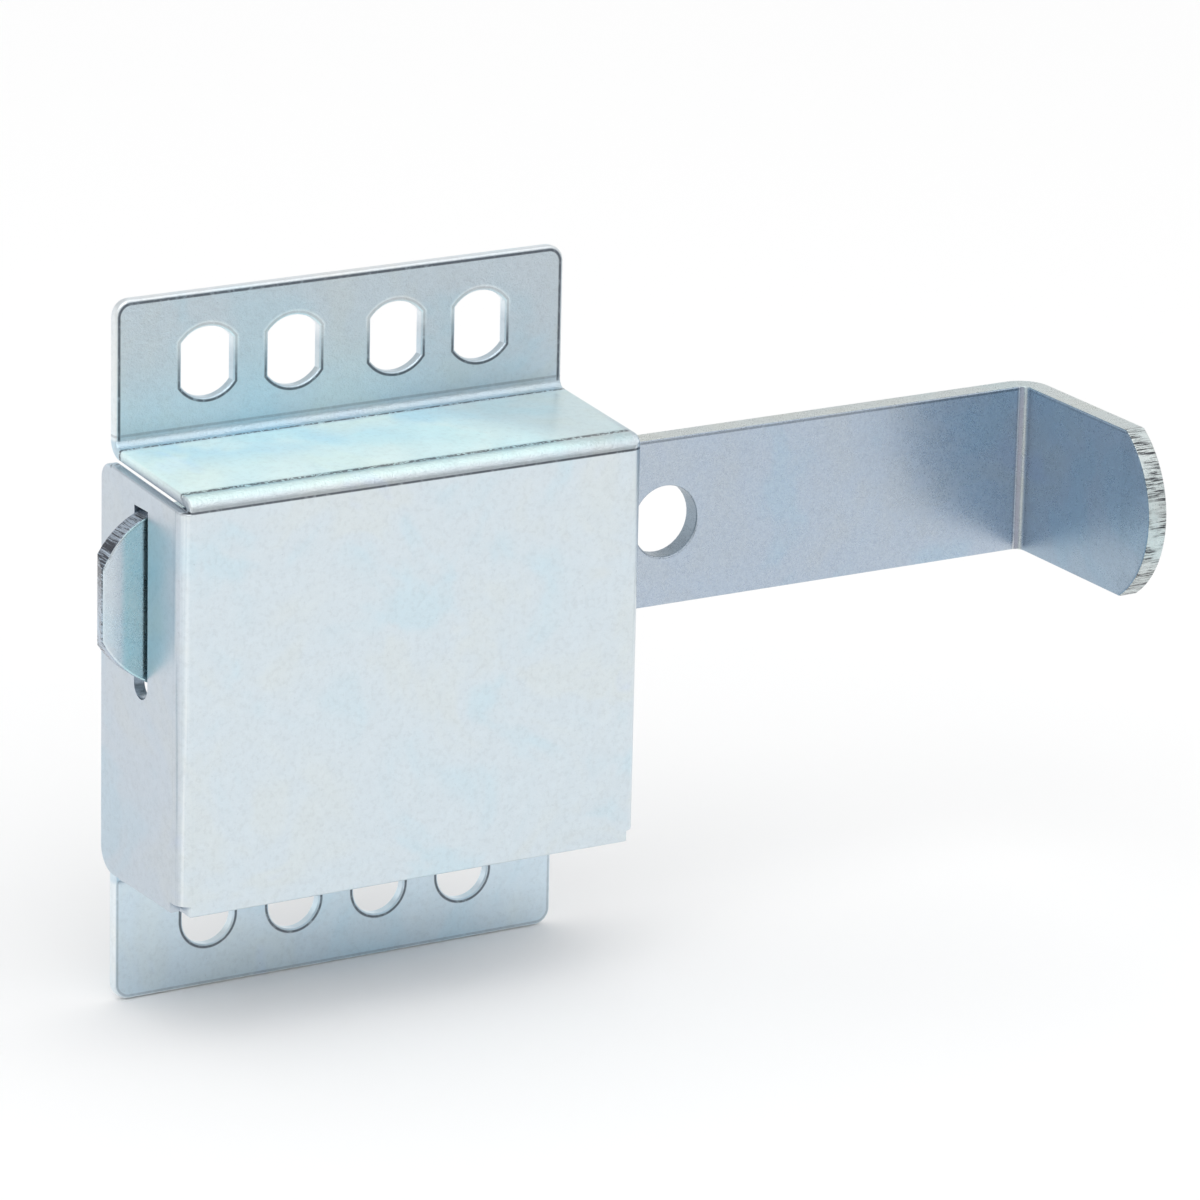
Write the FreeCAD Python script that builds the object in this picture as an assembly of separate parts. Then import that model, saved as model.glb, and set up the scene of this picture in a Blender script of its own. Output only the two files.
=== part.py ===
"""Interior side lock: a slide bolt with a bent pull hook, held in a folded sheet-steel housing.

The origin lies on the mounting plane, behind the middle of the box, level with the upper row of
fixing holes. The housing stands out from that plane towards -Y, the bolt's nose points to -X, its
pull hook is at +X, and +Z is up.
The bolt is drawn parked against its stop, and slides towards -X to lock. All sizes are millimetres.
"""
import FreeCAD, Part
import math
import os

V = FreeCAD.Vector

# --- housing: one blank of sheet, folded into a front plate, four walls and two flanges ---
SHEET = 2.0
BOX_WIDTH = 90.0
BOX_HEIGHT = 74.0
BOX_DEPTH = 30.0
FRONT_BEND_INNER_R = 0.6
WALL_SPLAY_DEG = 4.0          # the top and bottom walls open out towards the mounting plane
FLANGE_BEND_INNER_R = 1.3
UPPER_FLANGE_HEIGHT = 27.5    # from the front plate's top edge to the flange's top edge
LOWER_FLANGE_HEIGHT = 24.4
FLANGE_WIDTH = 87.6
FLANGE_OFFSET = 0.5           # flanges sit this far right of the box's middle
FLANGE_CORNER_R = 3.0
FLAP_SIDE_GAP = 0.3           # seam between the bottom wall and each side wall
SEAM_GAP = 0.4                # seam between the top wall and each side wall's top edge
SIDE_CORNER_R_UPPER = 3.0
SIDE_CORNER_R_LOWER = 4.5
CORNER_RELIEF = 2.0           # clipped corners where the bottom bend meets the side bends
FLANGE_EDGE_ROUND = 0.5       # sheet edges rolled over by the punch
WALL_EDGE_ROUND = 0.35
HOLE_EDGE_ROUND = 0.35

# --- fixing holes in the flanges ---
UPPER_HOLE_R = 6.3            # round holes with two upright flats
UPPER_HOLE_FLATS = 10.0
UPPER_HOLE_DROP = 12.7        # below the flange's top edge
UPPER_PITCH_INNER = 20.0
UPPER_PITCH_OUTER = 53.4
UPPER_ROW_OFFSET = 1.0        # middle of the upper row, right of the box's middle
LOWER_SLOT_WIDTH = 10.0
LOWER_SLOT_LENGTH = 12.6
LOWER_SLOT_RISE = 13.85       # slot centre above the flange's bottom edge
LOWER_PITCH = 17.0
LOWER_SLOT_COUNT = 4
LOWER_ROW_OFFSET = 0.5

# --- bolt: a flat bar with a rounded nose, a padlock hole and a bent pull hook ---
BAR_THICK = 4.0
BAR_HEIGHT = 30.8
BAR_DROP = 5.5                # from the front plate's top edge to the bar's top edge
NOSE_REACH = 8.2             # nose beyond the left wall, with the bolt parked
NOSE_RISE = 9.3               # height of each corner arc of the nose
NOSE_RUN_TOP = 10.6
NOSE_RUN_BOTTOM = 10.2
NOSE_MEET_TOP_DEG = 14.0      # angle between the bar's edge and the nose's corner arc
NOSE_MEET_BOTTOM_DEG = 21.0
NOSE_BEVEL = 1.1              # the nose's back edge is this much shorter than its front edge
PADLOCK_HOLE_R = 6.5
PADLOCK_HOLE_FROM_WALL = 12.6
HOOK_FROM_WALL = 87.8         # right wall to the hook's inner face, with the bolt parked
HOOK_REACH = 40.15             # out from the bar's front face
HOOK_END_SAGITTA = 8.2
HOOK_BEND_INNER_R = 1.5
BAR_EDGE_ROUND = 0.4

# --- the bolt's guide slots in both side walls ---
SLOT_WIDTH = 5.0
SLOT_BACK_Y = -12.5
BAR_BACK_CLEARANCE = 0.15
BAR_TOP_CLEARANCE = 0.4
SLOT_END_DROP = 2.7           # room in the slot below the bar

# --- travel, rivets and spring ---
TRAVEL = 45.0
STOP_GAP = 0.3                # left between a rivet and the wall that stops it
RIVET_SHANK_R = 3.0
RIVET_FIT = 0.05
RIVET_TAIL_R = 3.9
RIVET_TAIL_HEIGHT = 1.6
RIVET_TAIL_EDGE_R = 3.5       # where the tail's dome turns down
RIVET_TAIL_EDGE_HEIGHT = 0.9
RIVET_TAIL_TOP_R = 2.1
SHOULDER_R = 4.0
SHOULDER_LENGTH = 3.6
GROOVE_R = 2.6
GROOVE_WIDTH = 2.0
POST_HEAD_R = 3.9
POST_HEAD_HEIGHT = 1.4
POST_ABOVE_BAR_BOTTOM = 9.0
STOP_HEAD_HEIGHT = 5.0
HEAD_CHAMFER_R = 1.1
HEAD_CHAMFER_HEIGHT = 0.7
WIRE_R = 0.6
COIL_R = 3.4                  # to the middle of the wire
COIL_TURNS = 14
END_LEG = 5.3                 # along the spring's axis, from the last coil to its end ring's middle
END_RISE = 1.3                # the part of it in which the wire leaves the coil
END_CLIMB = ((22.5, 0.08), (45, 0.22), (67.5, 0.5))    # turn in degrees, share of END_RISE reached
END_RING_ARC_DEG = 216
POINTS_PER_TURN = 12          # along the wire
WIRE_SIDES = 12               # round it
WIRE_SPAN = 10                # sections joined by one smooth skin
WIRE_SPAN_LEAST = 3
TAB_WIDTH = 6.4
TAB_HEIGHT = 9.5              # above the bottom wall's inner face
TAB_HOLE_R = 2.2
TAB_HOLE_HEIGHT = 5.5
TAB_RING_GAP = 0.05           # between the spring's lower ring and the rim of the tab's hole
TAB_CORNER_R = 1.5
LANCE_GAP = 0.5               # cut round the tab in the bottom wall

OVER = 1.0                    # how far a cutting shape passes beyond what it cuts

# --- places worked out from the sizes above ---
BASE_Z = UPPER_HOLE_DROP - UPPER_FLANGE_HEIGHT - BOX_HEIGHT    # front plate's bottom edge
LOWER_SLOT_Z = BASE_Z - LOWER_FLANGE_HEIGHT + LOWER_SLOT_RISE
LEFT = -BOX_WIDTH / 2
RIGHT = BOX_WIDTH / 2
FRONT_Y = -BOX_DEPTH
SPLAY = math.tan(math.radians(WALL_SPLAY_DEG))
FLANGE_LEFT = FLANGE_OFFSET - FLANGE_WIDTH / 2
FLANGE_RIGHT = FLANGE_OFFSET + FLANGE_WIDTH / 2
BOTTOM_WALL_HALF = BOX_WIDTH / 2 - SHEET - FLAP_SIDE_GAP
BAR_Z = BASE_Z + BOX_HEIGHT - BAR_DROP - BAR_HEIGHT
BAR_BACK_Y = SLOT_BACK_Y - BAR_BACK_CLEARANCE
BAR_FRONT_Y = BAR_BACK_Y - BAR_THICK
STOP_X = RIGHT - SHEET - STOP_GAP - SHOULDER_R
POST_X = LEFT + SHEET + STOP_GAP + SHOULDER_R + TRAVEL
RIVET_Z = BAR_Z + POST_ABOVE_BAR_BOTTOM
SPRING_Y = BAR_BACK_Y + SHOULDER_LENGTH + GROOVE_WIDTH / 2
TAB_X = POST_X - TRAVEL / 2


def bent_strip(points, bend_r, thickness):
    """A face of constant thickness along a route of straight runs; bend_r is to its middle line."""
    half = thickness / 2
    dirs = [(b - a).normalize() for a, b in zip(points, points[1:])]
    plane_normal = dirs[0].cross(dirs[1]).normalize()
    sides = []
    for side in (1, -1):
        edges = []
        start = points[0] + plane_normal.cross(dirs[0]) * half * side
        for i in range(1, len(points) - 1):
            before, after = dirs[i - 1], dirs[i]
            turn = math.copysign(1, before.cross(after).dot(plane_normal))
            angle = before.getAngle(after)
            setback = bend_r[i - 1] * math.tan(angle / 2)
            centre = points[i] - before * setback + plane_normal.cross(before) * bend_r[i - 1] * turn
            radius = bend_r[i - 1] - half * side * turn
            arc_start = centre - plane_normal.cross(before) * radius * turn
            arc_end = centre - plane_normal.cross(after) * radius * turn
            middle = (arc_start + arc_end) / 2 - centre
            arc_middle = centre + middle.normalize() * radius
            edges.append(Part.makeLine(start, arc_start))
            edges.append(Part.Arc(arc_start, arc_middle, arc_end).toShape())
            start = arc_end
        end = points[-1] + plane_normal.cross(dirs[-1]) * half * side
        edges.append(Part.makeLine(start, end))
        sides.append((edges, end, points[0] + plane_normal.cross(dirs[0]) * half * side))
    caps = [Part.makeLine(sides[0][1], sides[1][1]), Part.makeLine(sides[0][2], sides[1][2])]
    wire = Part.Wire(Part.__sortEdges__(sides[0][0] + sides[1][0] + caps))
    return Part.Face(wire)


def block(x0, x1, y0, y1, z0, z1):
    return Part.makeBox(x1 - x0, y1 - y0, z1 - z0, V(x0, y0, z0))


def cylinder_y(radius, y0, y1, x, z):
    """A cylinder along Y."""
    return Part.makeCylinder(radius, y1 - y0, V(x, y0, z), V(0, 1, 0))


def cylinder_x(radius, x0, x1, y, z):
    """A cylinder along X."""
    return Part.makeCylinder(radius, x1 - x0, V(x0, y, z), V(1, 0, 0))


def round_edges(shape, radius, wanted):
    """Fillets every edge that wanted() accepts."""
    edges = [e for e in shape.Edges if wanted(e)]
    return shape.makeFillet(radius, edges) if edges else shape


def near(a, b):
    return abs(a - b) < 1e-6


def middle(edge):
    return edge.valueAt((edge.FirstParameter + edge.LastParameter) / 2)


def runs_along_y(edge):
    return edge.BoundBox.XLength < 1e-6 and edge.BoundBox.ZLength < 1e-6


def is_sharp(shape, edge):
    """Do the edge's two faces meet at a real corner?"""
    point = middle(edge)
    normals = [
        face.normalAt(*face.Surface.parameter(point))
        for face in shape.Faces if any(other.isSame(edge) for other in face.Edges)
    ]
    return len(normals) == 2 and normals[0].getAngle(normals[1]) > math.radians(30)


# ---------------------------------------------------------------- housing

def rounded_flange(solid, x0, x1, flange_end):
    """Rounds a flange's two outer corners, then rolls its sides and its outer end."""
    solid = round_edges(
        solid, FLANGE_CORNER_R, lambda e: runs_along_y(e) and near(e.BoundBox.ZMin, flange_end),
    )

    def on_rim(edge):
        point = middle(edge)
        on_side = (near(point.x, x0) or near(point.x, x1)) and not near(edge.BoundBox.ZLength, 0)
        at_end = near(edge.BoundBox.YLength, 0) and abs(point.z - flange_end) < FLANGE_CORNER_R
        return on_side or at_end
    return round_edges(solid, FLANGE_EDGE_ROUND, on_rim)


def flap(sign, x0, x1, flange_height):
    """Half of the front plate with its top (+1) or bottom (-1) wall and that wall's flange."""
    mid = SHEET / 2
    plate_edge = BASE_Z + (BOX_HEIGHT if sign > 0 else 0)
    front = V(0, FRONT_Y + mid, plate_edge - sign * mid)
    reach = BOX_DEPTH - SHEET
    corner = front + V(0, reach, sign * reach * SPLAY)
    points = [
        V(0, FRONT_Y + mid, BASE_Z + BOX_HEIGHT / 2),
        front,
        corner,
        V(0, -mid, plate_edge + sign * flange_height),
    ]
    face = bent_strip(points, [FRONT_BEND_INNER_R + mid, FLANGE_BEND_INNER_R + mid], SHEET)
    solid = face.extrude(V(x1 - x0, 0, 0))
    solid.translate(V(x0, 0, 0))
    return solid


def upper_flap():
    """The top wall and its flange, trimmed to the box's rounded front corners."""
    flange_end = BASE_Z + BOX_HEIGHT + UPPER_FLANGE_HEIGHT
    solid = flap(1, FLANGE_LEFT, FLANGE_RIGHT, UPPER_FLANGE_HEIGHT)
    solid = rounded_flange(solid, FLANGE_LEFT, FLANGE_RIGHT, flange_end)
    plan = block(LEFT, RIGHT, FRONT_Y, OVER, BASE_Z, flange_end + OVER)
    plan = round_edges(
        plan, FRONT_BEND_INNER_R + SHEET,
        lambda e: near(e.BoundBox.YMax, FRONT_Y) and e.BoundBox.ZLength > BOX_HEIGHT,
    )
    return solid.common(plan)


def lower_flap():
    """The bottom wall, which fits between the side walls, and its flange, which is wider."""
    flange_end = BASE_Z - LOWER_FLANGE_HEIGHT
    wall = flap(-1, -BOTTOM_WALL_HALF, BOTTOM_WALL_HALF, LOWER_FLANGE_HEIGHT / 2)
    flange = block(FLANGE_LEFT, FLANGE_RIGHT, -SHEET, 0, flange_end, BASE_Z - SEAM_GAP)
    return wall.fuse(rounded_flange(flange, FLANGE_LEFT, FLANGE_RIGHT, flange_end))


def side_wall_outline():
    """A side wall's outline in the YZ plane, with its top edge parallel to the top wall."""
    top_front = BASE_Z + BOX_HEIGHT - SHEET - SEAM_GAP
    top_back = top_front + BOX_DEPTH * SPLAY
    corners = [
        V(0, FRONT_Y - OVER, BASE_Z),
        V(0, 0, BASE_Z),
        V(0, 0, top_back),
        V(0, FRONT_Y - OVER, top_front - OVER * SPLAY),
    ]
    face = Part.Face(Part.makePolygon(corners + corners[:1]))
    solid = face.extrude(V(BOX_WIDTH, 0, 0))
    solid.translate(V(LEFT, 0, 0))

    def rear(z):
        return lambda e: near(e.BoundBox.YMax, 0) and near(e.BoundBox.YMin, 0) and near(middle(e).z, z)
    solid = round_edges(solid, SIDE_CORNER_R_UPPER, rear(top_back))
    return round_edges(solid, SIDE_CORNER_R_LOWER, rear(BASE_Z))


def side_walls():
    """The front plate's middle with both side walls, bent from one strip."""
    mid = SHEET / 2
    points = [
        V(LEFT + mid, 0, BASE_Z),
        V(LEFT + mid, FRONT_Y + mid, BASE_Z),
        V(RIGHT - mid, FRONT_Y + mid, BASE_Z),
        V(RIGHT - mid, 0, BASE_Z),
    ]
    bend_r = FRONT_BEND_INNER_R + mid
    strip = bent_strip(points, [bend_r, bend_r], SHEET).extrude(V(0, 0, BOX_HEIGHT + OVER))
    walls = strip.common(side_wall_outline())
    faces_x = (BOX_WIDTH / 2, BOX_WIDTH / 2 - SHEET)
    return round_edges(
        walls, WALL_EDGE_ROUND,
        lambda e: near(e.BoundBox.XLength, 0) and any(near(abs(middle(e).x), x) for x in faces_x)
        and is_sharp(walls, e),
    )


def bolt_slots():
    """The guide slots through both side walls, each with a round lower end."""
    r = SLOT_WIDTH / 2
    y = SLOT_BACK_Y - r
    end_z = BAR_Z - SLOT_END_DROP + r
    top = BAR_Z + BAR_HEIGHT + BAR_TOP_CLEARANCE
    cut = block(LEFT - OVER, RIGHT + OVER, y - r, y + r, end_z, top)
    return cut.fuse(cylinder_x(r, LEFT - OVER, RIGHT + OVER, y, end_z))


def upper_holes():
    """Round holes with upright flats, two pairs about the middle."""
    cuts = []
    for pitch in (UPPER_PITCH_INNER, UPPER_PITCH_OUTER):
        for x in (-pitch / 2, pitch / 2):
            x += UPPER_ROW_OFFSET
            hole = cylinder_y(UPPER_HOLE_R, -SHEET - OVER, OVER, x, 0)
            half = UPPER_HOLE_FLATS / 2
            r = UPPER_HOLE_R + OVER
            cuts.append(hole.common(block(x - half, x + half, -SHEET - OVER, OVER, -r, r)))
    return cuts


def lower_slots():
    """Upright slots with round ends, evenly spaced."""
    r = LOWER_SLOT_WIDTH / 2
    z = LOWER_SLOT_Z
    half = LOWER_SLOT_LENGTH / 2 - r
    cuts = []
    for i in range(LOWER_SLOT_COUNT):
        x = LOWER_ROW_OFFSET + (i - (LOWER_SLOT_COUNT - 1) / 2) * LOWER_PITCH
        slot = block(x - r, x + r, -SHEET - OVER, OVER, z - half, z + half)
        for end in (-half, half):
            slot = slot.fuse(cylinder_y(r, -SHEET - OVER, OVER, x, z + end))
        cuts.append(slot.removeSplitter())
    return cuts


def tab_base_z(y):
    """Height of the bottom wall's inner face at a depth y."""
    return BASE_Z + SHEET - (y - FRONT_Y) * SPLAY


def spring_tab():
    """The tab lanced out of the bottom wall, and the opening that it leaves."""
    y0 = SPRING_Y - TAB_WIDTH / 2
    y1 = SPRING_Y + TAB_WIDTH / 2
    floor = tab_base_z(SPRING_Y)
    half = SHEET / 2
    tab = block(TAB_X - half, TAB_X + half, y0, y1, floor - SHEET, floor + TAB_HEIGHT)
    tab = round_edges(
        tab, TAB_CORNER_R, lambda e: e.BoundBox.XLength > SHEET - 1e-6 and e.BoundBox.ZMin > floor,
    )
    tab = tab.cut(cylinder_x(TAB_HOLE_R, TAB_X - SHEET, TAB_X + SHEET, SPRING_Y, floor + TAB_HOLE_HEIGHT))
    opening = block(
        TAB_X + half, TAB_X + half + TAB_HEIGHT, y0 - LANCE_GAP, y1 + LANCE_GAP,
        floor - 2 * SHEET, floor + half,
    )
    return tab, opening


def housing():
    body = upper_flap().fuse([lower_flap(), side_walls()]).removeSplitter()
    tab, opening = spring_tab()
    body = body.cut(opening).fuse(tab)
    reliefs = [
        block(
            x0, x1, FRONT_Y - OVER, FRONT_Y + SHEET + CORNER_RELIEF,
            BASE_Z - OVER, BASE_Z + CORNER_RELIEF,
        )
        for x0, x1 in ((LEFT - OVER, LEFT + CORNER_RELIEF), (RIGHT - CORNER_RELIEF, RIGHT + OVER))
    ]
    body = body.cut([bolt_slots()] + upper_holes() + lower_slots() + reliefs).removeSplitter()

    def hole_rim(edge):
        point = middle(edge)
        in_flange = near(edge.BoundBox.YLength, 0) and (near(point.y, 0) or near(point.y, -SHEET))
        to_side = BOTTOM_WALL_HALF - 2 * FLANGE_CORNER_R
        upper = abs(point.z) < UPPER_HOLE_R + OVER
        lower = abs(point.z - LOWER_SLOT_Z) < LOWER_SLOT_LENGTH / 2 + OVER
        return in_flange and abs(point.x) < to_side and (upper or lower)
    return round_edges(body, HOLE_EDGE_ROUND, hole_rim)


# ---------------------------------------------------------------- bolt

def corner_arc(a, b, bulge, outward):
    """An arc from a to b that stands out from its chord."""
    return Part.Arc(a, (a + b) / 2 + outward.normalize() * bulge, b).toShape()


def nose_arc(a, b, meet_deg, outward):
    """An arc between the nose's end and the bar's edge, meeting that edge at a shallow angle."""
    chord = b - a
    slope = math.atan2(abs(chord.z), abs(chord.x))
    bulge = chord.Length / 2 * math.tan((slope - math.radians(meet_deg)) / 2)
    return corner_arc(a, b, bulge, outward)


def bolt_side_profile(x_nose, x_end):
    """The bar's outline seen from the front, with its rounded nose."""
    z0 = BAR_Z
    z1 = BAR_Z + BAR_HEIGHT
    flat0 = z0 + NOSE_RISE
    flat1 = z1 - NOSE_RISE
    nose_low = V(x_nose, 0, flat0)
    nose_high = V(x_nose, 0, flat1)
    low = V(x_nose + NOSE_RUN_BOTTOM, 0, z0)
    high = V(x_nose + NOSE_RUN_TOP, 0, z1)
    edges = [
        Part.makeLine(nose_low, nose_high),
        nose_arc(nose_high, high, NOSE_MEET_TOP_DEG, V(-(z1 - flat1), 0, NOSE_RUN_TOP)),
        Part.makeLine(high, V(x_end, 0, z1)),
        Part.makeLine(V(x_end, 0, z1), V(x_end, 0, z0)),
        Part.makeLine(V(x_end, 0, z0), low),
        nose_arc(low, nose_low, NOSE_MEET_BOTTOM_DEG, V(-(flat0 - z0), 0, -NOSE_RUN_BOTTOM)),
    ]
    return Part.Face(Part.Wire(edges))


def hook_end_profile(y_end):
    """The hook's outline seen from the side, with its bowed end."""
    z0 = BAR_Z
    z1 = BAR_Z + BAR_HEIGHT
    y_arc = y_end + HOOK_END_SAGITTA
    low = V(0, y_arc, z0)
    high = V(0, y_arc, z1)
    edges = [
        corner_arc(low, high, HOOK_END_SAGITTA, V(0, -1, 0)),
        Part.makeLine(high, V(0, 0, z1)),
        Part.makeLine(V(0, 0, z1), V(0, 0, z0)),
        Part.makeLine(V(0, 0, z0), low),
    ]
    return Part.Face(Part.Wire(edges))


def bolt():
    half = BAR_THICK / 2
    x_nose = LEFT - NOSE_REACH
    x_hook = RIGHT + HOOK_FROM_WALL + half
    y_mid = BAR_BACK_Y - half
    y_end = BAR_FRONT_Y - HOOK_REACH
    route = [V(x_nose, y_mid, BAR_Z), V(x_hook, y_mid, BAR_Z), V(x_hook, y_end, BAR_Z)]
    bar = bent_strip(route, [HOOK_BEND_INNER_R + half], BAR_THICK).extrude(V(0, 0, BAR_HEIGHT))
    far = x_hook + BAR_THICK
    front = bolt_side_profile(x_nose, far).extrude(V(0, y_end - OVER, 0))
    side = hook_end_profile(y_end).extrude(V(far - x_nose + OVER, 0, 0))
    side.translate(V(x_nose, 0, 0))
    bar = bar.common(front).common(side)
    bevel = Part.Face(Part.makePolygon([
        V(x_nose - OVER, BAR_FRONT_Y, BAR_Z),
        V(x_nose, BAR_FRONT_Y, BAR_Z),
        V(x_nose + NOSE_BEVEL, BAR_BACK_Y, BAR_Z),
        V(x_nose + NOSE_BEVEL, BAR_BACK_Y + OVER, BAR_Z),
        V(x_nose - OVER, BAR_BACK_Y + OVER, BAR_Z),
        V(x_nose - OVER, BAR_FRONT_Y, BAR_Z),
    ])).extrude(V(0, 0, BAR_HEIGHT))
    holes = [(PADLOCK_HOLE_R, RIGHT + PADLOCK_HOLE_FROM_WALL, BAR_Z + BAR_HEIGHT / 2)]
    holes += [(RIVET_SHANK_R + RIVET_FIT, x, RIVET_Z) for x in (POST_X, STOP_X)]
    cuts = [cylinder_y(r, BAR_FRONT_Y - OVER, BAR_BACK_Y + OVER, x, z) for r, x, z in holes]
    bar = bar.cut([bevel] + cuts).removeSplitter()
    return round_edges(bar, BAR_EDGE_ROUND, lambda e: is_sharp(bar, e))


# ---------------------------------------------------------------- rivets

def turned(profile, x):
    """A rivet turned about an axis along Y; profile is a list of (radius, y)."""
    points = [V(x + r, y, RIVET_Z) for r, y in profile]
    face = Part.Face(Part.makePolygon(points + points[:1]))
    return face.revolve(V(x, 0, RIVET_Z), V(0, 1, 0), 360)


def rivet_tail():
    """The domed tail set against the bar's front face, and the shank through the bar."""
    y = BAR_FRONT_Y
    return [
        (0, y - RIVET_TAIL_HEIGHT),
        (RIVET_TAIL_TOP_R, y - RIVET_TAIL_HEIGHT),
        (RIVET_TAIL_EDGE_R, y - RIVET_TAIL_EDGE_HEIGHT),
        (RIVET_TAIL_R, y),
        (RIVET_SHANK_R, y),
        (RIVET_SHANK_R, BAR_BACK_Y),
    ]


def spring_post():
    groove = BAR_BACK_Y + SHOULDER_LENGTH
    head = groove + GROOVE_WIDTH
    end = head + POST_HEAD_HEIGHT
    return turned(rivet_tail() + [
        (SHOULDER_R, BAR_BACK_Y),
        (SHOULDER_R, groove),
        (GROOVE_R, groove),
        (GROOVE_R, head),
        (POST_HEAD_R, head),
        (POST_HEAD_R, end - HEAD_CHAMFER_HEIGHT),
        (POST_HEAD_R - HEAD_CHAMFER_R, end),
        (0, end),
    ], POST_X)


def stop_rivet():
    end = BAR_BACK_Y + STOP_HEAD_HEIGHT
    return turned(rivet_tail() + [
        (SHOULDER_R, BAR_BACK_Y),
        (SHOULDER_R, end - HEAD_CHAMFER_HEIGHT),
        (SHOULDER_R - HEAD_CHAMFER_R, end),
        (0, end),
    ], STOP_X)


# ---------------------------------------------------------------- spring

def spring_route():
    """Points of the wire's middle line: a coil with a centred ring at each end."""
    post = V(POST_X, SPRING_Y, RIVET_Z)
    hole_top = tab_base_z(SPRING_Y) + TAB_HOLE_HEIGHT + TAB_HOLE_R
    ring_inner_r = COIL_R - WIRE_R - TAB_RING_GAP
    bottom_ring = V(TAB_X, SPRING_Y, hole_top + math.sqrt(ring_inner_r ** 2 - (SHEET / 2) ** 2))
    along = (post - bottom_ring).normalize()
    centre = (post + bottom_ring) / 2
    half_length = (post - bottom_ring).Length / 2 - END_LEG
    across = V(0, 1, 0)
    sideways = along.cross(across)
    phi_end = math.pi * COIL_TURNS
    steps = COIL_TURNS * POINTS_PER_TURN // 2
    half = []
    for i in range(steps + 1):
        phi = phi_end * i / steps
        half.append((math.cos(phi), math.sin(phi), half_length * i / steps / COIL_R))
    z_end = half_length / COIL_R
    ring_z = z_end + END_LEG / COIL_R
    leg_z = z_end + END_RISE / COIL_R
    for phi, rise in END_CLIMB:
        a = math.radians(phi)
        half.append((math.cos(a), math.sin(a), z_end + (leg_z - z_end) * rise))
    leg_steps = 4
    for i in range(leg_steps):
        half.append((0.0, 1.0, leg_z + (ring_z - leg_z) * i / leg_steps))
    for i in range(POINTS_PER_TURN + 1):
        a = math.radians(END_RING_ARC_DEG * i / POINTS_PER_TURN)
        half.append((0.0, math.cos(a), ring_z + math.sin(a)))
    other = [(x, -y, -z) for x, y, z in half[:0:-1]]
    return [
        centre + (across * x + sideways * y + along * z) * COIL_R
        for x, y, z in other + half
    ]


def wire_solid(points, radius):
    """A round wire along a smooth route: its section is carried along without twisting."""
    count = len(points)
    tangents = [
        (points[min(i + 1, count - 1)] - points[max(i - 1, 0)]).normalize() for i in range(count)
    ]
    angles = [2 * math.pi * k / WIRE_SIDES for k in range(WIRE_SIDES)] + [0.0]
    side = tangents[0].cross(V(0, 0, 1)).normalize()
    rings = []
    for point, tangent in zip(points, tangents):
        side = (side - tangent * side.dot(tangent)).normalize()
        up = tangent.cross(side)
        rings.append([point + (side * math.cos(a) + up * math.sin(a)) * radius for a in angles])
    faces = []
    start = 0
    while start < count - 1:
        stop = start + WIRE_SPAN
        if stop + WIRE_SPAN_LEAST > count - 1:
            stop = count - 1
        skin = Part.BSplineSurface()
        skin.interpolate(rings[start:stop + 1])
        faces.append(skin.toShape())
        start = stop
    for face, end in ((faces[0], points[0]), (faces[-1], points[-1])):
        rim = Part.Wire([min(face.Edges, key=lambda edge: (edge.CenterOfMass - end).Length)])
        on_rim = rim.discretize(Number=4)
        faces.append(Part.Face(Part.Plane(*on_rim[:3]), rim))
    shell = Part.Shell(faces)
    shell.sewShape()
    return Part.Solid(shell)


def spring():
    return wire_solid(spring_route(), WIRE_R)


def main():
    os.makedirs("parts", exist_ok=True)
    pieces = {
        "housing": housing(),
        "bolt": bolt(),
        "spring_post": spring_post(),
        "stop_rivet": stop_rivet(),
        "spring": spring(),
    }
    for name, shape in pieces.items():
        shape.exportStep(f"parts/{name}.step")
        box = shape.BoundBox
        print(f"{name:12s} solids {len(shape.Solids)} valid {shape.isValid()} volume {shape.Volume:9.1f}"
              f"  x {box.XMin:.2f}..{box.XMax:.2f}  y {box.YMin:.2f}..{box.YMax:.2f}"
              f"  z {box.ZMin:.2f}..{box.ZMax:.2f}")


main()
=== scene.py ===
"""Slide bolt gate latch in bright blue-white zinc plating, on a plain pale floor."""
import math

import bpy
from mathutils import Matrix, Vector


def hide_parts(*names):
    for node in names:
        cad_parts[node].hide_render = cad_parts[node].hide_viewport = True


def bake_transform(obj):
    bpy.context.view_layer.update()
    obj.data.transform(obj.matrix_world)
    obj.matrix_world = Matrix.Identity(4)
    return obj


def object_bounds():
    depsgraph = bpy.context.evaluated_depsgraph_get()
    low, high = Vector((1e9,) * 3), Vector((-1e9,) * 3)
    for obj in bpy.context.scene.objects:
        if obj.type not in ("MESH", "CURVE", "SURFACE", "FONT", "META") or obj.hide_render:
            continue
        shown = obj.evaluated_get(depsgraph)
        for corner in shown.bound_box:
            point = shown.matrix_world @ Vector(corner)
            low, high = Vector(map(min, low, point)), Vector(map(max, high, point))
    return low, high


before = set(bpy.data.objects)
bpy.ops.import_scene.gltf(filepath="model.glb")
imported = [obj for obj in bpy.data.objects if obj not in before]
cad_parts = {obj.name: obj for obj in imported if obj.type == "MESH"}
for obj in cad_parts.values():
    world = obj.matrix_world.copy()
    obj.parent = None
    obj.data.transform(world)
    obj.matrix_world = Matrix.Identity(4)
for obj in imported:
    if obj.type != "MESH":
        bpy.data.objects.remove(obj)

MM = 0.001
cad_low, cad_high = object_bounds()


# ---------------------------------------------------------------- node helpers

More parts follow.
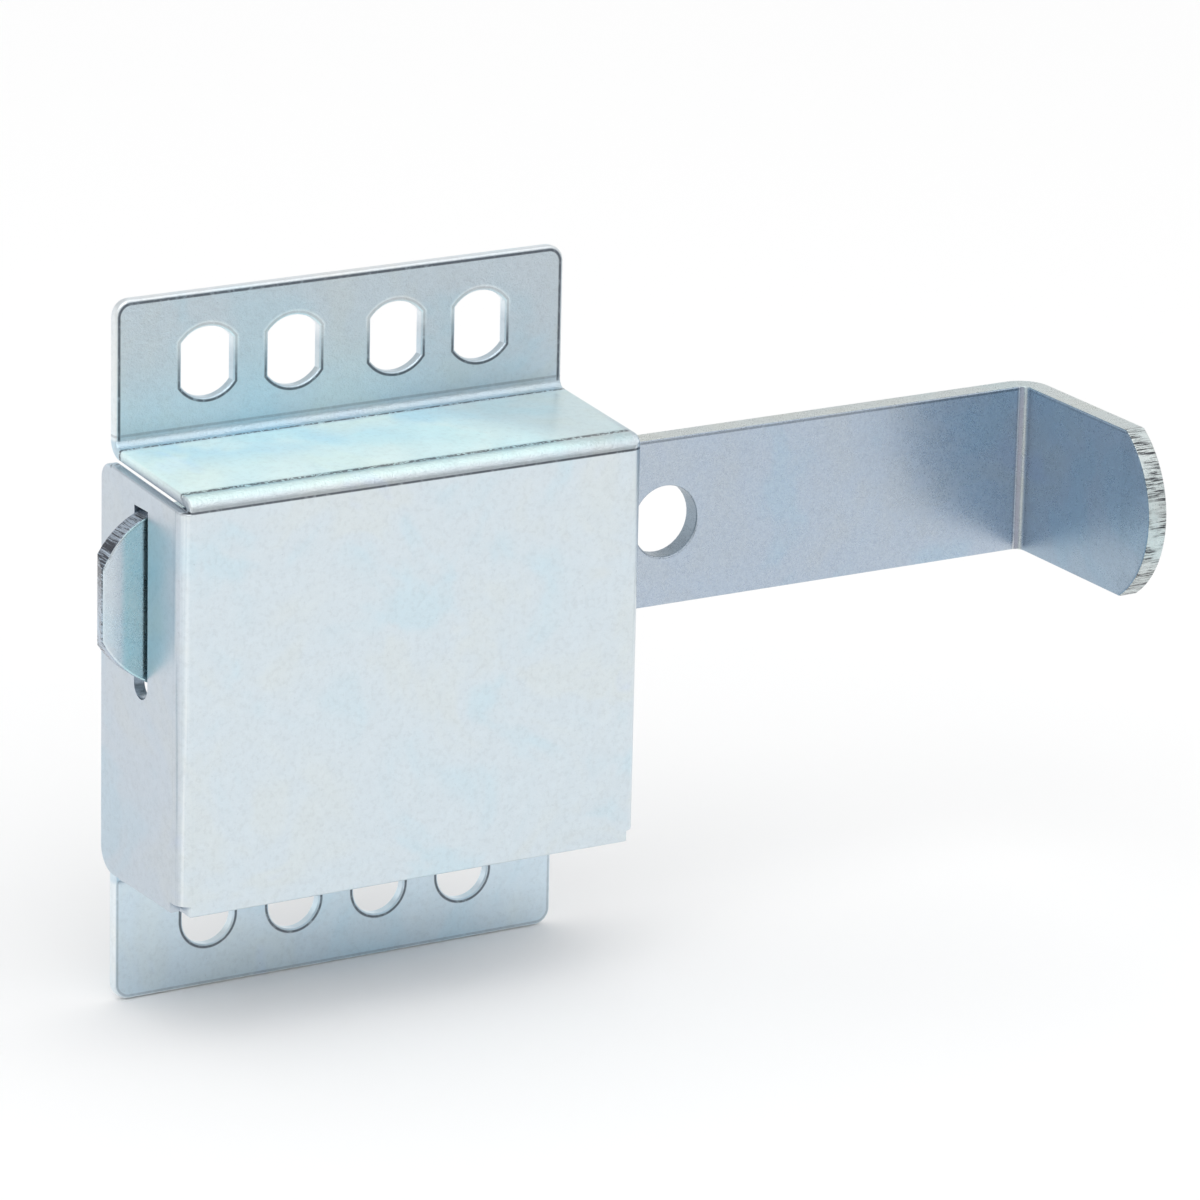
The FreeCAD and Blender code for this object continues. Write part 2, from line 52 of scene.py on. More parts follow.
class Shader:
    """A small helper for building one material's nodes."""

    def __init__(self, name):
        self.material = bpy.data.materials.new(name)
        self.material.use_nodes = True
        self.tree = self.material.node_tree
        self.principled = self.tree.nodes["Principled BSDF"]
        coords = self.node("ShaderNodeTexCoord")
        self.place = coords.outputs["Object"]

    def node(self, kind, **settings):
        made = self.tree.nodes.new(kind)
        for key, value in settings.items():
            setattr(made, key, value)
        return made

    def link(self, source, target):
        self.tree.links.new(source, target)

    def put(self, socket, value):
        """A socket takes either another node's output or a plain value."""
        if isinstance(value, bpy.types.NodeSocket):
            self.link(value, socket)
        else:
            socket.default_value = value

    def stretched(self, scale):
        """The object's own coordinates in millimetres, times scale along each axis."""
        mapping = self.node("ShaderNodeMapping")
        self.link(self.place, mapping.inputs["Vector"])
        mapping.inputs["Scale"].default_value = [s / MM for s in scale]
        return mapping.outputs["Vector"]

    def noise(self, per_mm, detail=2.0, rough=0.5, warp=0.0, stretch=(1, 1, 1), seed=0.0):
        made = self.node("ShaderNodeTexNoise", noise_dimensions="4D")
        self.link(self.stretched(stretch), made.inputs["Vector"])
        made.inputs["W"].default_value = seed
        made.inputs["Scale"].default_value = per_mm
        made.inputs["Detail"].default_value = detail
        made.inputs["Roughness"].default_value = rough
        made.inputs["Distortion"].default_value = warp
        return made.outputs["Fac"]

    def ramp(self, fac, stops, smooth="LINEAR"):
        made = self.node("ShaderNodeValToRGB")
        self.link(fac, made.inputs["Fac"])
        made.color_ramp.interpolation = smooth
        elements = made.color_ramp.elements
        while len(elements) < len(stops):
            elements.new(0.5)
        for element, (at, colour) in zip(elements, stops):
            element.position = at
            element.color = (*colour, 1) if isinstance(colour, tuple) else (colour, colour, colour, 1)
        return made.outputs["Color"]

    def span(self, value, low, high, to_low=0.0, to_high=1.0):
        made = self.node("ShaderNodeMapRange", interpolation_type="SMOOTHSTEP")
        for key, put in (("Value", value), ("From Min", low), ("From Max", high),
                         ("To Min", to_low), ("To Max", to_high)):
            self.put(made.inputs[key], put)
        return made.outputs["Result"]

    def math(self, operation, a, b=0.0):
        made = self.node("ShaderNodeMath", operation=operation)
        self.put(made.inputs[0], a)
        self.put(made.inputs[1], b)
        return made.outputs[0]

    def blend(self, fac, a, b, mode="MIX"):
        made = self.node("ShaderNodeMix", data_type="RGBA", blend_type=mode)
        self.put(made.inputs["Factor"], fac)
        self.put(made.inputs["A"], a if isinstance(a, bpy.types.NodeSocket) else (*a, 1))
        self.put(made.inputs["B"], b if isinstance(b, bpy.types.NodeSocket) else (*b, 1))
        return made.outputs["Result"]

    def bump(self, height, distance, strength=1.0, normal=None):
        made = self.node("ShaderNodeBump")
        self.link(height, made.inputs["Height"])
        made.inputs["Distance"].default_value = distance
        made.inputs["Strength"].default_value = strength
        if normal is not None:
            self.link(normal, made.inputs["Normal"])
        return made.outputs["Normal"]

    def times(self, a, b):
        return self.math("MULTIPLY", a, b)

    def plus(self, a, b):
        return self.math("ADD", a, b)

    def minus(self, a, b):
        return self.math("SUBTRACT", a, b)

    def size(self, a):
        return self.math("ABSOLUTE", a)

    def inverse(self, mask):
        return self.minus(1.0, mask)

    def largest(self, *values):
        most = values[0]
        for value in values[1:]:
            most = self.math("MAXIMUM", most, value)
        return most

    def smallest(self, *values):
        least = values[0]
        for value in values[1:]:
            least = self.math("MINIMUM", least, value)
        return least

    def length(self, a, b):
        return self.math("SQRT", self.plus(self.times(a, a), self.times(b, b)))

    def band(self, value, centre, half):
        """1 where the value is near the centre, falling to 0 at a distance of half."""
        return self.span(self.size(self.minus(value, centre)), half, half * BAND_CORE)

    def darken(self, colour, mask, amount, shade):
        return self.blend(self.times(mask, amount), colour, shade)

    def axis(self, name):
        """One coordinate of the object's own frame, in millimetres."""
        split = self.node("ShaderNodeSeparateXYZ")
        self.link(self.stretched((1, 1, 1)), split.inputs[0])
        return split.outputs[name]


def panel_edge(s, x, z, middle_z, half_height):
    """Distance inwards from the outline of a flange, an upright rectangle with round corners."""
    dx = s.minus(s.size(s.minus(x, FLANGE_X)), FLANGE_HALF - FLANGE_CORNER)
    dz = s.minus(s.size(s.minus(z, middle_z)), half_height - FLANGE_CORNER)
    outside = s.length(s.largest(dx, 0.0), s.largest(dz, 0.0))
    inside = s.smallest(s.largest(dx, dz), 0.0)
    return s.minus(FLANGE_CORNER, s.plus(outside, inside))


def upper_hole_edge(s, x, z):
    """Distance outwards from the nearest upper hole, a circle with two upright flats."""
    away = s.size(s.minus(x, UPPER_ROW_X))
    edges = []
    for place in UPPER_HOLES:
        dx = s.minus(away, place)
        disc = s.minus(s.length(dx, z), UPPER_HOLE_R)
        edges.append(s.largest(disc, s.minus(s.size(dx), UPPER_HOLE_HALF_FLAT)))
    return s.smallest(*edges)


def lower_slot_edge(s, x, z):
    """Distance outwards from the nearest lower slot."""
    away = s.size(s.minus(x, LOWER_ROW_X))
    up = s.largest(s.minus(s.size(s.minus(z, LOWER_SLOT_Z)), LOWER_SLOT_HALF_RUN), 0.0)
    return s.smallest(*[s.minus(s.length(s.minus(away, place), up), LOWER_SLOT_R) for place in LOWER_SLOTS])


def zinc(s, colour, rough, grain=0.05, waviness=0.0, rolled=None, sheared=None, lines=None,
         line_depth=0.85, pit_depth=0.3, milky=None):
    """Finishes a shader as zinc plating: faint clouds, a fine crystalline grain and an uneven gloss.

    rolled masks the stretched plating of the bends, sheared the torn grain of the cut edges, lines the
    painted dark lines along the edges, which are painted shade and dark reflections, and milky the places
    that are paler and less metallic.
    """
    cloud = s.noise(0.045, detail=3, rough=0.55, warp=0.8, seed=2.0)
    pastel = s.ramp(cloud, [
        (0.34, (0.93, 1.00, 1.02)), (0.48, (1.0, 1.0, 1.0)), (0.60, (1.02, 1.0, 0.97)),
        (0.72, (0.98, 0.98, 1.03)),
    ], "EASE")
    colour = s.blend(1.0, colour, pastel, "MULTIPLY")
    mottle = s.noise(0.30, detail=5, rough=0.7, seed=3.1)
    colour = s.blend(0.22, colour, s.ramp(mottle, [(0.35, 0.80), (0.65, 1.0)]), "MULTIPLY")
    speck = s.noise(4.0, detail=2, rough=0.75, seed=7.7)
    colour = s.blend(grain, colour, s.ramp(speck, [(0.38, 0.0), (0.62, 1.0)]), "OVERLAY")
    flakes = s.noise(1.1, detail=3, rough=0.65, seed=8.4)
    colour = s.blend(0.13, colour, s.ramp(flakes, [(0.38, 0.55), (0.48, 0.92), (0.60, 1.0)]), "MULTIPLY")
    pits = s.span(s.noise(1.6, detail=3, rough=0.75, seed=9.3), 0.655, 0.72)
    colour = s.darken(colour, pits, pit_depth, PIT_TINT)
    if lines is not None:
        # Painted dark lines of shade and dark reflection, broken up by noise.
        broken = s.span(s.noise(0.9, detail=3, rough=0.7, seed=12.0), 0.25, 0.5, 0.55, 1.0)
        colour = s.darken(colour, s.times(lines, broken), line_depth, DARK_LINE_SHADE)
    p = s.principled
    s.link(colour, p.inputs["Base Color"])
    if milky is None:
        p.inputs["Metallic"].default_value = 1.0
    else:
        s.link(s.span(milky, 0.0, 1.0, 1.0, MILKY_METALLIC), p.inputs["Metallic"])
    uneven = s.plus(s.times(mottle, 0.5), s.times(speck, 0.5))
    s.link(s.span(uneven, 0.3, 0.7, *rough), p.inputs["Roughness"])
    normal = s.bump(speck, 0.005 * MM, 0.5)
    if rolled is not None:
        crackle = s.times(s.noise(2.2, detail=3, rough=0.8, seed=5.5), rolled)
        normal = s.bump(crackle, 0.22 * MM, 1.0, normal)
    if sheared is not None:
        normal = s.bump(sheared, 0.16 * MM, 1.0, normal)
    if waviness:
        normal = s.bump(s.noise(0.05, detail=1, seed=1.3), waviness * MM, 1.0, normal)
    s.link(normal, p.inputs["Normal"])
    return s.material


# Face tints are the zinc's colour with painted light and shade: front, top and lower flange lighter, side
# and upper flange darker.
FRONT_LIT_TINT = (0.70, 0.78, 0.83)
SIDE_SHADED_TINT = (0.57, 0.635, 0.70)
TOP_LIT_TINT = (0.80, 1.0, 1.0)
# Painted reflections on the top wall: blue where it mirrors the flange, grey further right.
TOP_BLUE_REFLECTION = (0.62, 0.90, 1.0)
TOP_GREY_REFLECTION = (0.62, 0.76, 0.79)
UPPER_FLANGE_SHADED_TINT = (0.60, 0.68, 0.74)
LOWER_FLANGE_LIT_TINT = (0.68, 0.80, 0.88)
BAR_TINT = (0.46, 0.535, 0.63)
BAR_TOP_TINT = (0.66, 0.72, 0.72)
# Painted shade inside the padlock hole.
BORE_SHADE = (0.30, 0.37, 0.44)
HOOK_TINT = (0.20, 0.42, 0.65)
# Painted shade in the fold where the bar turns into the hook.
HOOK_BEND_SHADE = (0.27, 0.28, 0.34)
# Painted reflection on the bolt's nose: teal near the side wall, pale further out.
NOSE_PALE_REFLECTION = (0.70, 0.77, 0.82)
NOSE_TEAL_REFLECTION = (0.52, 0.74, 0.79)
RIVET_TINT = (0.50, 0.54, 0.58)
WIRE_TINT = (0.34, 0.35, 0.37)

# Painted reflection: cyan on the upper flange near its lower fold.
TOP_BEND_CYAN_REFLECTION = (0.60, 0.80, 0.92)
GLINT_TINT = (0.92, 0.96, 0.98)
# Painted highlight and shade streaks on the side wall's front fold.
HIGHLIGHT_STREAK, SHADE_STREAK = (0.78, 0.85, 0.89), (0.40, 0.48, 0.55)
BEND_SHINE = (0.85, 0.90, 0.93)
PIT_TINT = (0.20, 0.24, 0.28)
# Painted shade: the dark lines along rims, holes, folds and edges.
DARK_LINE_SHADE = (0.05, 0.06, 0.08)
TORN_TINT = (0.03, 0.03, 0.04)
BAND_CORE = 0.35            # share of a line's half width that has its full strength
MILKY_METALLIC = 0.35

# places on the CAD pieces, in millimetres
UPPER_ROW_X, UPPER_HOLES = 1.0, (10.0, 26.7)
UPPER_HOLE_R, UPPER_HOLE_HALF_FLAT = 6.3, 5.0
LOWER_ROW_X, LOWER_SLOTS, LOWER_SLOT_Z = 0.5, (8.5, 25.5), -99.35
LOWER_SLOT_R, LOWER_SLOT_HALF_RUN = 5.0, 1.3
FLANGE_X, FLANGE_HALF, FLANGE_CORNER = 0.5, 43.8, 3.0
UPPER_PANEL = (-23.65, 36.35)       # middle and half height of a panel with the upper flange's top edge
LOWER_PANEL = (-86.6, 26.6)         # and of one with the lower flange's bottom edge
BOX_SIDE, BOX_FRONT, BOX_TOP, BOX_BOTTOM = 45.0, -30.0, -14.8, -88.8
BAR_TOP, BAR_FRONT = -20.3, -16.65
HOOK_IN, HOOK_OUT = 132.8, 136.8    # the hook's inner and outer faces
PADLOCK_X, PADLOCK_Z, PADLOCK_R = 57.6, -35.7, 6.5


def housing_colour(s, x, y, z, above, on_top):
    """Each face's tone: the zinc's colour with painted light and shade, lighter on the front and top,
    darker on the side and upper flange, with painted reflections on the top wall and the upper flange.
    """
    front = s.span(y, BOX_FRONT + 1.8, BOX_FRONT + 0.4)
    back = s.span(y, -5.0, -2.2)
    below = s.span(z, BOX_BOTTOM + 0.8, BOX_BOTTOM - 0.4)
    colour = s.blend(front, SIDE_SHADED_TINT, FRONT_LIT_TINT)
    drift = s.noise(0.05, detail=2, rough=0.5, warp=0.6, seed=18.0)
    # Painted reflection on the top wall: bluer towards the flange, which it mirrors, and greyer towards the
    # right.
    top = s.blend(s.times(s.span(y, -20.0, -8.0), s.span(drift, 0.40, 0.58)), TOP_LIT_TINT, TOP_BLUE_REFLECTION)
    top = s.blend(s.span(s.plus(x, s.times(y, 0.6)), 8.0, 22.0), top, TOP_GREY_REFLECTION)
    colour = s.blend(on_top, colour, top)
    upper_flange = s.times(above, back)
    colour = s.blend(upper_flange, colour, UPPER_FLANGE_SHADED_TINT)
    # Painted reflection: the upper flange turns cyan towards its lower fold, more so on the left.
    cyan_reflection = s.times(upper_flange, s.span(z, 3.0, -10.0, 0.0, 0.6))
    colour = s.blend(s.times(cyan_reflection, s.span(x, 30.0, -30.0, 0.55, 1.0)), colour, TOP_BEND_CYAN_REFLECTION)
    return s.blend(s.times(below, back), colour, LOWER_FLANGE_LIT_TINT)


def housing_lines(s, x, y, z, across, above):
    """Masks of the painted dark lines, which are painted shade and dark reflections, and of the painted
    bright glints beside the rims, holes and folds.
    """
    plate = s.span(y, -3.0, -2.2)
    on_upper, on_lower = s.span(z, -12.2, -11.6), s.span(z, -91.0, -92.0)
    upper_rim = panel_edge(s, x, z, *UPPER_PANEL)
    lower_rim = panel_edge(s, x, z, *LOWER_PANEL)
    rim_line = s.largest(
        s.times(s.band(upper_rim, 0.72, 0.36), on_upper),
        s.times(s.times(s.band(lower_rim, 0.60, 0.30), 0.35), on_lower),
    )
    rim_glint = s.largest(
        s.times(s.band(upper_rim, 0.15, 0.32), on_upper), s.times(s.band(lower_rim, 0.15, 0.32), on_lower),
    )
    hole = s.smallest(upper_hole_edge(s, x, z), lower_slot_edge(s, x, z))
    hole_line = s.times(s.band(hole, 0.50, 0.34), s.span(z, 2.0, -4.0, 0.35, 1.0))
    bend_line = s.times(s.times(s.band(z, -11.1, 0.34), 0.35), s.span(y, -2.9, -2.3))
    flange_lines = s.times(plate, s.largest(rim_line, hole_line, bend_line))
    front_line = s.times(s.band(z, BOX_TOP - 2.3, 0.30), s.span(y, BOX_FRONT + 1.6, BOX_FRONT + 1.0))
    dots = s.span(s.noise(1.7, detail=2, rough=0.7, seed=21.0), 0.42, 0.50)
    folds = s.largest(
        s.times(s.band(y, BOX_FRONT + 3.5, 0.7), s.span(across, BOX_SIDE - 1.0, BOX_SIDE - 2.0)),
        s.band(y, -3.7, 0.45),
    )
    lines = s.largest(flange_lines, front_line, s.times(s.times(above, folds), dots))
    halo = s.times(s.times(s.band(hole, 0.35, 0.9), s.span(z, 0.0, 4.0)), plate)
    return lines, s.largest(s.times(plate, rim_glint), halo)


def housing_zinc():
    """The folded sheet in zinc, each face given painted light and shade as a lighter or darker tone, with
    painted dark lines and glints.
    """
    s = Shader("zinc_housing")
    x, y, z = (s.axis(name) for name in "XYZ")
    across = s.size(x)
    above = s.span(z, BOX_TOP - 1.4, BOX_TOP - 0.1)
    side = s.times(s.span(across, BOX_SIDE - 2.2, BOX_SIDE - 1.8), s.span(z, -13.2, -16.0))
    on_top = s.times(above, s.inverse(side))
    colour = housing_colour(s, x, y, z, above, on_top)
    lines, glint = housing_lines(s, x, y, z, across, above)
    colour = s.blend(s.times(glint, 0.7), colour, GLINT_TINT)

    bend_up = s.times(s.span(y, BOX_FRONT + 3.4, BOX_FRONT + 2.4), s.span(z, -17.0, -15.4))
    bend_back = s.times(s.times(above, s.span(y, -6.0, -4.0)), s.span(y, -1.2, -2.4))
    side_bend = s.times(
        s.span(across, BOX_SIDE - 1.8, BOX_SIDE - 1.2), s.span(y, BOX_FRONT + 3.5, BOX_FRONT + 2.5),
    )
    side_bend = s.times(side_bend, s.inverse(s.times(above, s.span(z, -15.4, -15.0))))
    # Painted highlight and dark reflection streaks running up the fold between the side wall and the front.
    sheen_streaks = s.noise(1.0, detail=2, rough=0.6, stretch=(1.1, 1.1, 0.012), seed=19.0)
    colour = s.blend(s.times(side_bend, s.span(sheen_streaks, 0.52, 0.66)), colour, HIGHLIGHT_STREAK)
    colour = s.blend(s.times(side_bend, s.span(sheen_streaks, 0.44, 0.34, 0.0, 0.8)), colour, SHADE_STREAK)
    milky = s.times(s.times(on_top, s.span(y, -26.2, -25.2)), s.span(y, -3.2, -4.2))
    return zinc(s, colour, (0.276, 0.31), grain=0.045, waviness=0.05, rolled=s.largest(bend_up, bend_back),
                lines=lines, milky=milky)


def bar_colour(s, x, y, z, on_hook, flat, cut):
    """The bar's grey, bluer on the hook's inner face, with a painted reflection on the nose: teal near the
    side wall, pale further out.
    """
    colour = s.blend(s.noise(0.05, detail=2, seed=4.0), BAR_TINT, tuple(c * 1.06 for c in BAR_TINT))
    inner = s.times(s.span(x, HOOK_OUT - 0.8, HOOK_OUT - 1.8), s.span(y, -15.4, -16.8))
    colour = s.blend(s.times(on_hook, inner), colour, HOOK_TINT)
    # Painted shade darkens the fold where the bar turns into the hook.
    in_bend = s.times(s.span(x, HOOK_IN - 1.9, HOOK_IN - 1.2), s.span(x, HOOK_IN + 0.3, HOOK_IN - 0.3))
    in_bend = s.times(in_bend, s.span(y, -15.0, -16.3))
    colour = s.blend(s.times(in_bend, 0.8), colour, HOOK_BEND_SHADE)
    # Painted reflection on the nose's front face: teal where it mirrors the side wall, pale further out.
    nose_face = s.times(flat, s.span(y, BAR_FRONT + 0.85, BAR_FRONT + 0.45))
    colour = s.blend(s.times(s.span(x, -40.0, -45.0), nose_face), colour, NOSE_TEAL_REFLECTION)
    colour = s.blend(s.times(s.span(x, -48.4, -50.0), nose_face), colour, NOSE_PALE_REFLECTION)
    colour = s.blend(s.times(cut, s.span(x, -44.0, -43.0)), colour, BAR_TOP_TINT)
    # Painted shade darkens the walls of the padlock hole.
    hole = s.length(s.minus(x, PADLOCK_X), s.minus(z, PADLOCK_Z))
    return s.blend(s.times(cut, s.span(hole, PADLOCK_R + 1.1, PADLOCK_R + 0.7)), colour, BORE_SHADE)


def torn_edges(s, x, y, z, on_hook, at_nose, cut):
    """The height of the torn grain across the thickness, and a mask of where it shows black."""
    streaks = s.noise(1.0, detail=3, rough=0.8, stretch=(3.2, 0.16, 3.2), seed=14.0)
    hook_streaks = s.noise(1.0, detail=3, rough=0.8, stretch=(0.16, 3.2, 3.2), seed=15.0)
    torn = s.plus(s.times(streaks, s.inverse(on_hook)), s.times(hook_streaks, on_hook))
    patches = s.noise(0.16, detail=2, rough=0.6, seed=16.0)
    end = s.largest(s.times(s.span(y, -47.5, -48.5), on_hook), at_nose)
    fractured = s.times(s.times(cut, end), s.span(patches, 0.40, 0.55))
    tip = s.times(s.times(cut, s.span(x, -48.5, -51.0)), s.span(z, -38.0, -30.0))
    black = s.largest(s.times(fractured, s.span(torn, 0.47, 0.56)), s.times(tip, s.span(torn, 0.36, 0.52)))
    return torn, black


def bar_zinc():
    """The bar's plating, greyer than the sheet's, with a torn grain on the sheared edges."""
    s = Shader("zinc_bolt")
    x, y, z = (s.axis(name) for name in "XYZ")
    split = s.node("ShaderNodeSeparateXYZ")
    s.link(s.node("ShaderNodeTexCoord").outputs["Normal"], split.inputs[0])
    facing_x, facing_y = (s.size(split.outputs[name]) for name in "XY")
    on_hook = s.span(x, HOOK_IN - 0.4, HOOK_IN + 0.2)
    at_nose = s.span(x, -44.0, -45.5)
    flat_bar, flat_hook = (s.span(facing, 0.55, 0.80) for facing in (facing_y, facing_x))
    flat = s.plus(s.times(flat_bar, s.inverse(on_hook)), s.times(flat_hook, on_hook))
    cut = s.inverse(s.largest(flat, s.times(flat_bar, s.span(y, -17.5, -17.0))))
    colour = bar_colour(s, x, y, z, on_hook, flat, cut)
    torn, black = torn_edges(s, x, y, z, on_hook, at_nose, cut)
    colour = s.darken(colour, black, 0.92, TORN_TINT)

    # Painted dark lines of shade and dark reflection along the bar's and hook's top edges and down the
    # hook's fold.
    top_line = s.band(z, BAR_TOP - 0.55, 0.26)
    crisp = s.largest(
        s.times(s.span(x, HOOK_IN - 0.6, HOOK_IN - 2.0), top_line),
        s.times(s.times(on_hook, s.span(x, HOOK_IN + 1.2, HOOK_IN + 0.6)), top_line),
        s.times(s.band(x, HOOK_IN + 0.25, 0.28), s.span(y, -17.6, -18.2)),
    )
    shine = s.times(s.band(x, HOOK_IN - 1.25, 0.16), s.span(y, -15.6, -16.2))
    colour = s.blend(s.times(shine, 0.6), colour, BEND_SHINE)
    return zinc(s, colour, (0.24, 0.34), grain=0.10, sheared=s.times(torn, cut), lines=s.times(crisp, flat),
                line_depth=0.5, pit_depth=0.16)


def plain_zinc(name, tint, rough):
    s = Shader(name)
    colour = s.blend(s.noise(0.2, detail=2, seed=6.0), tint, tuple(c * 1.2 for c in tint))
    return zinc(s, colour, rough, grain=0.12)


def dress(node, material):
    """Gives a CAD node a material."""
    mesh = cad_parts[node].data
    mesh.materials.clear()
    mesh.materials.append(material)


# ---------------------------------------------------------------- spring

POST = Vector((6.3, -8.05, -42.1))      # the bolt's spring post, with the bolt parked
TAB_RING = Vector((-16.2, -8.05, -78.073))      # middle of the ring that hangs in the tab's hole
COIL_R = 3.4
WIRE_R = 0.6
TURNS = 14
END_LEG = 5.3               # from the coil's end to the middle of its ring
LEAVE_RISE = 1.3            # the part of it in which the wire leaves the coil
POINTS_PER_TURN = 20
RING_ARC_DEG, RING_POINTS = 216, 18


def spring_route():
    """Points of the wire's middle line, in millimetres: a close coil with a ring at each end."""
    along = (POST - TAB_RING).normalized()
    centre = (POST + TAB_RING) / 2
    half_length = (POST - TAB_RING).length / 2 - END_LEG
    across = Vector((0, 1, 0))
    sideways = along.cross(across)
    steps = TURNS * POINTS_PER_TURN // 2
    half = []
    for i in range(steps + 1):
        a = 2 * math.pi * i / POINTS_PER_TURN
        half.append((math.cos(a), math.sin(a), half_length * i / steps / COIL_R))
    coil_end = half_length / COIL_R
    for degrees, rise in ((20, 0.07), (40, 0.18), (60, 0.38), (76, 0.66)):
        a = math.radians(degrees)
        half.append((math.cos(a), math.sin(a), coil_end + LEAVE_RISE / COIL_R * rise))
    leg = coil_end + LEAVE_RISE / COIL_R
    ring = coil_end + END_LEG / COIL_R
    for i in range(4):
        half.append((0.0, 1.0, leg + (ring - leg) * i / 4))
    for i in range(RING_POINTS + 1):
        a = math.radians(RING_ARC_DEG * i / RING_POINTS)
        half.append((0.0, math.cos(a), ring + math.sin(a)))
    other = [(x, -y, -z) for x, y, z in half[:0:-1]]
    return [centre + (across * x + sideways * y + along * z) * COIL_R for x, y, z in other + half]


def wire_mesh(name, points, radius, around=14):
    """A round wire along the points, with domed ends."""
    count = len(points)
    ahead = [(points[min(i + 1, count - 1)] - points[max(i - 1, 0)]).normalized() for i in range(count)]
    rings = [(points[0] - ahead[0] * radius * 0.7, ahead[0], 0.6)]
    rings += [(p, a, 1.0) for p, a in zip(points, ahead)]
    rings += [(points[-1] + ahead[-1] * radius * 0.7, ahead[-1], 0.6)]
    side = ahead[0].cross(Vector((0, 0, 1))).normalized()
    verts, faces = [], []
    for point, tangent, share in rings:
        side = (side - tangent * side.dot(tangent)).normalized()
        up = tangent.cross(side)
        for k in range(around):
            a = 2 * math.pi * k / around
            verts.append((point + (side * math.cos(a) + up * math.sin(a)) * radius * share) * MM)
    for i in range(len(rings) - 1):
        for k in range(around):
            n = (k + 1) % around
            faces.append((i * around + k, i * around + n, (i + 1) * around + n, (i + 1) * around + k))
    faces.append(tuple(reversed(range(around))))
    faces.append(tuple(range((len(rings) - 1) * around, len(rings) * around)))
    mesh = bpy.data.meshes.new(name)
    mesh.from_pydata(verts, [], faces)
    mesh.polygons.foreach_set("use_smooth", [True] * len(mesh.polygons))
    return mesh


def spring():
    """The tension spring: its lower ring stays in the tab, its upper ring sits on the bolt's post with the
    bolt parked.
    """
    mesh = wire_mesh("tension_spring", spring_route(), WIRE_R)
    mesh.materials.append(plain_zinc("spring_wire", WIRE_TINT, (0.26, 0.36)))
    coil = bpy.data.objects.new("tension_spring", mesh)
    bpy.context.collection.objects.link(coil)
    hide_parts("spring")
    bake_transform(coil)


def finish_parts():
    dress("housing", housing_zinc())
    dress("bolt", bar_zinc())
    rivet = plain_zinc("zinc_rivet", RIVET_TINT, (0.34, 0.46))
    dress("spring_post", rivet)
    dress("stop_rivet", rivet)
    spring()


# ---------------------------------------------------------------- stage

def floor():
    """A wide pale floor just under the lower flange."""
    size = 6.0
    z = cad_low[2] - 0.2 * MM
    mesh = bpy.data.meshes.new("floor")
    corners = [(-size, -size, z), (size, -size, z), (size, size, z), (-size, size, z)]
    mesh.from_pydata(corners, [], [(0, 1, 2, 3)])
    plane = bpy.data.objects.new("floor", mesh)
    bpy.context.collection.objects.link(plane)
    s = Shader("floor_paper")
    s.principled.inputs["Base Color"].default_value = (0.93, 0.93, 0.93, 1)
    s.principled.inputs["Roughness"].default_value = 0.9
    mesh.materials.append(s.material)


def softbox(name, place, size, watts, target):
    light = bpy.data.lights.new(name, "AREA")
    light.shape = "RECTANGLE"
    light.size, light.size_y = size
    light.energy = watts
    lamp = bpy.data.objects.new(name, light)
    lamp.location = place
    lamp.rotation_euler = (Vector(target) - Vector(place)).to_track_quat("-Z", "Y").to_euler()
    bpy.context.collection.objects.link(lamp)


# brightness of the tent by the height of the direction looked in
TENT_FRONT = [(0.0, 0.24), (0.15, 0.20), (0.30, 0.80), (0.42, 1.32), (0.8, 1.12)]
TENT_BACK = [(0.0, 1.0), (0.30, 0.95), (0.42, 0.66), (0.55, 0.60), (0.78, 1.12)]


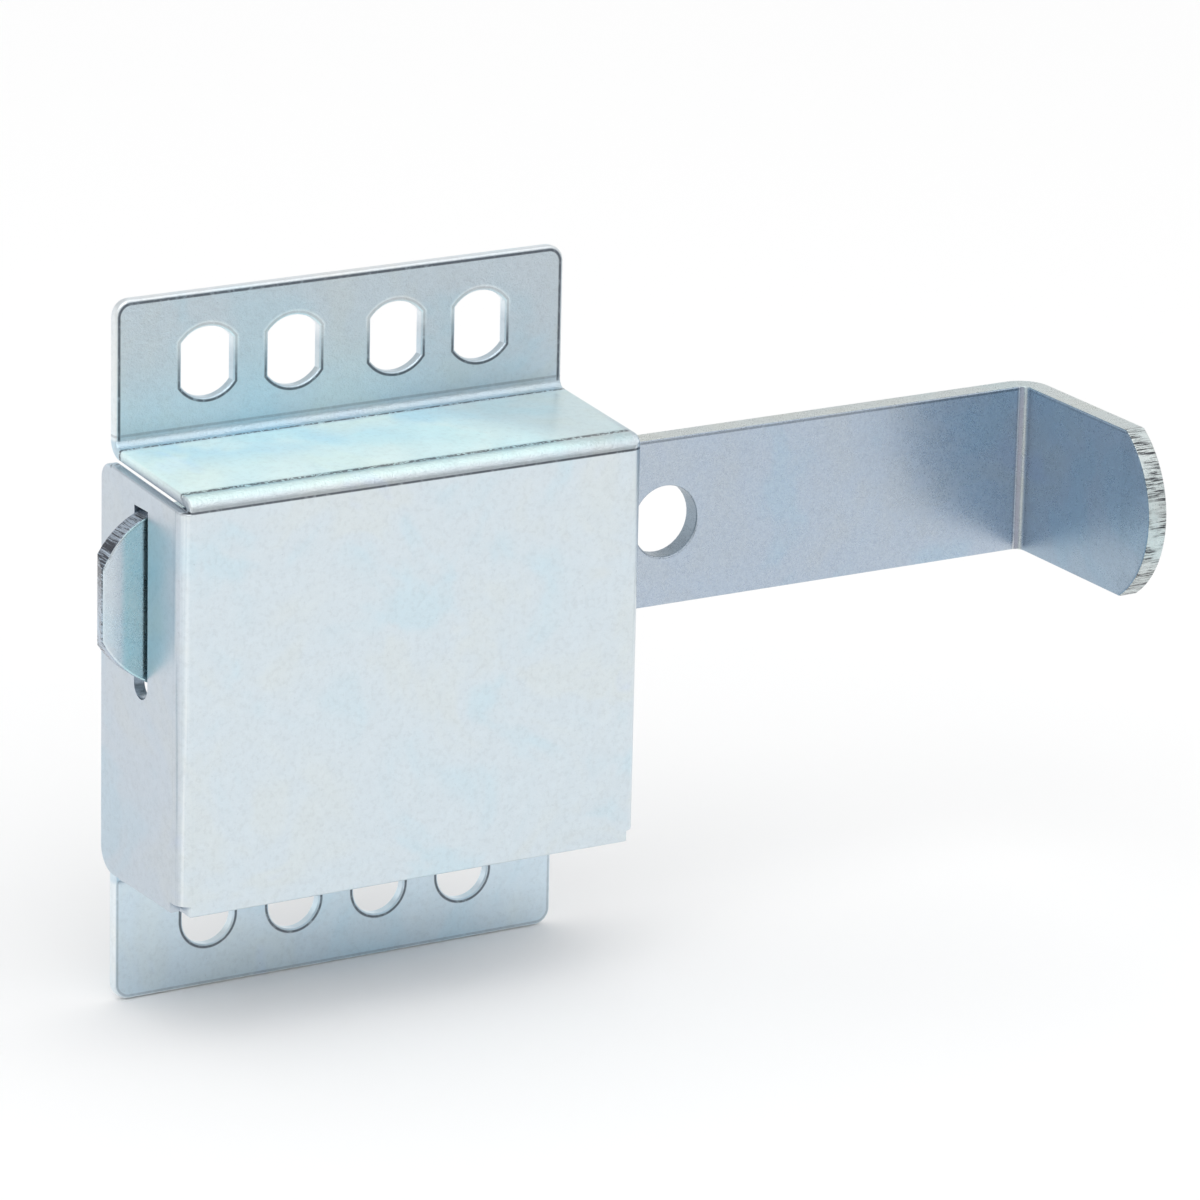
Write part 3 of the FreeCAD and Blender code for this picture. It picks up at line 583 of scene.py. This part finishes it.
def surroundings():
    """A white tent, brightest high in front, with a dim room showing round the horizon."""
    world = bpy.data.worlds.new("studio")
    bpy.context.scene.world = world
    world.use_nodes = True
    tree = world.node_tree
    coords = tree.nodes.new("ShaderNodeTexCoord")
    split = tree.nodes.new("ShaderNodeSeparateXYZ")
    tree.links.new(coords.outputs["Generated"], split.inputs[0])
    side = tree.nodes.new("ShaderNodeMapRange")
    side.inputs["From Min"].default_value = -0.25
    side.inputs["From Max"].default_value = 0.25
    tree.links.new(split.outputs["Y"], side.inputs["Value"])
    mix = tree.nodes.new("ShaderNodeMix")
    mix.data_type = "RGBA"
    tree.links.new(side.outputs["Result"], mix.inputs["Factor"])
    for socket, stops in (("A", TENT_FRONT), ("B", TENT_BACK)):
        ramp = tree.nodes.new("ShaderNodeValToRGB")
        tree.links.new(split.outputs["Z"], ramp.inputs["Fac"])
        elements = ramp.color_ramp.elements
        while len(elements) < len(stops):
            elements.new(0.5)
        for element, (at, grey) in zip(elements, stops):
            element.position = at
            element.color = (grey, grey, grey, 1)
        tree.links.new(ramp.outputs["Color"], mix.inputs[socket])
    tree.links.new(mix.outputs["Result"], tree.nodes["Background"].inputs["Color"])
    tree.nodes["Background"].inputs["Strength"].default_value = 1.0


def camera():
    """A long lens in front of the latch's left end, looking down at it, tipped very slightly."""
    lens, yaw, pitch, roll = 217.8, math.radians(30.99), math.radians(17.54), math.radians(1.328)
    place = Vector((-0.5806, -1.0574, 0.3354))
    ahead = Vector((math.sin(yaw) * math.cos(pitch), math.cos(yaw) * math.cos(pitch), -math.sin(pitch)))
    level = Vector((math.cos(yaw), -math.sin(yaw), 0))
    above = level.cross(ahead)
    right = level * math.cos(roll) + above * math.sin(roll)
    up = above * math.cos(roll) - level * math.sin(roll)
    data = bpy.data.cameras.new("camera")
    data.lens = lens
    data.sensor_width = 36
    data.clip_start, data.clip_end = 0.05, 50
    eye = bpy.data.objects.new("camera", data)
    eye.matrix_world = Matrix.Translation(place) @ Matrix((right, up, -ahead)).transposed().to_4x4()
    bpy.context.collection.objects.link(eye)
    bpy.context.scene.camera = eye


finish_parts()
floor()
surroundings()
softbox("key", (-0.5, -0.6, 1.2), (0.9, 0.9), 3, (0.03, 0, -0.04))
camera()
bpy.context.scene.view_settings.view_transform = "Standard"
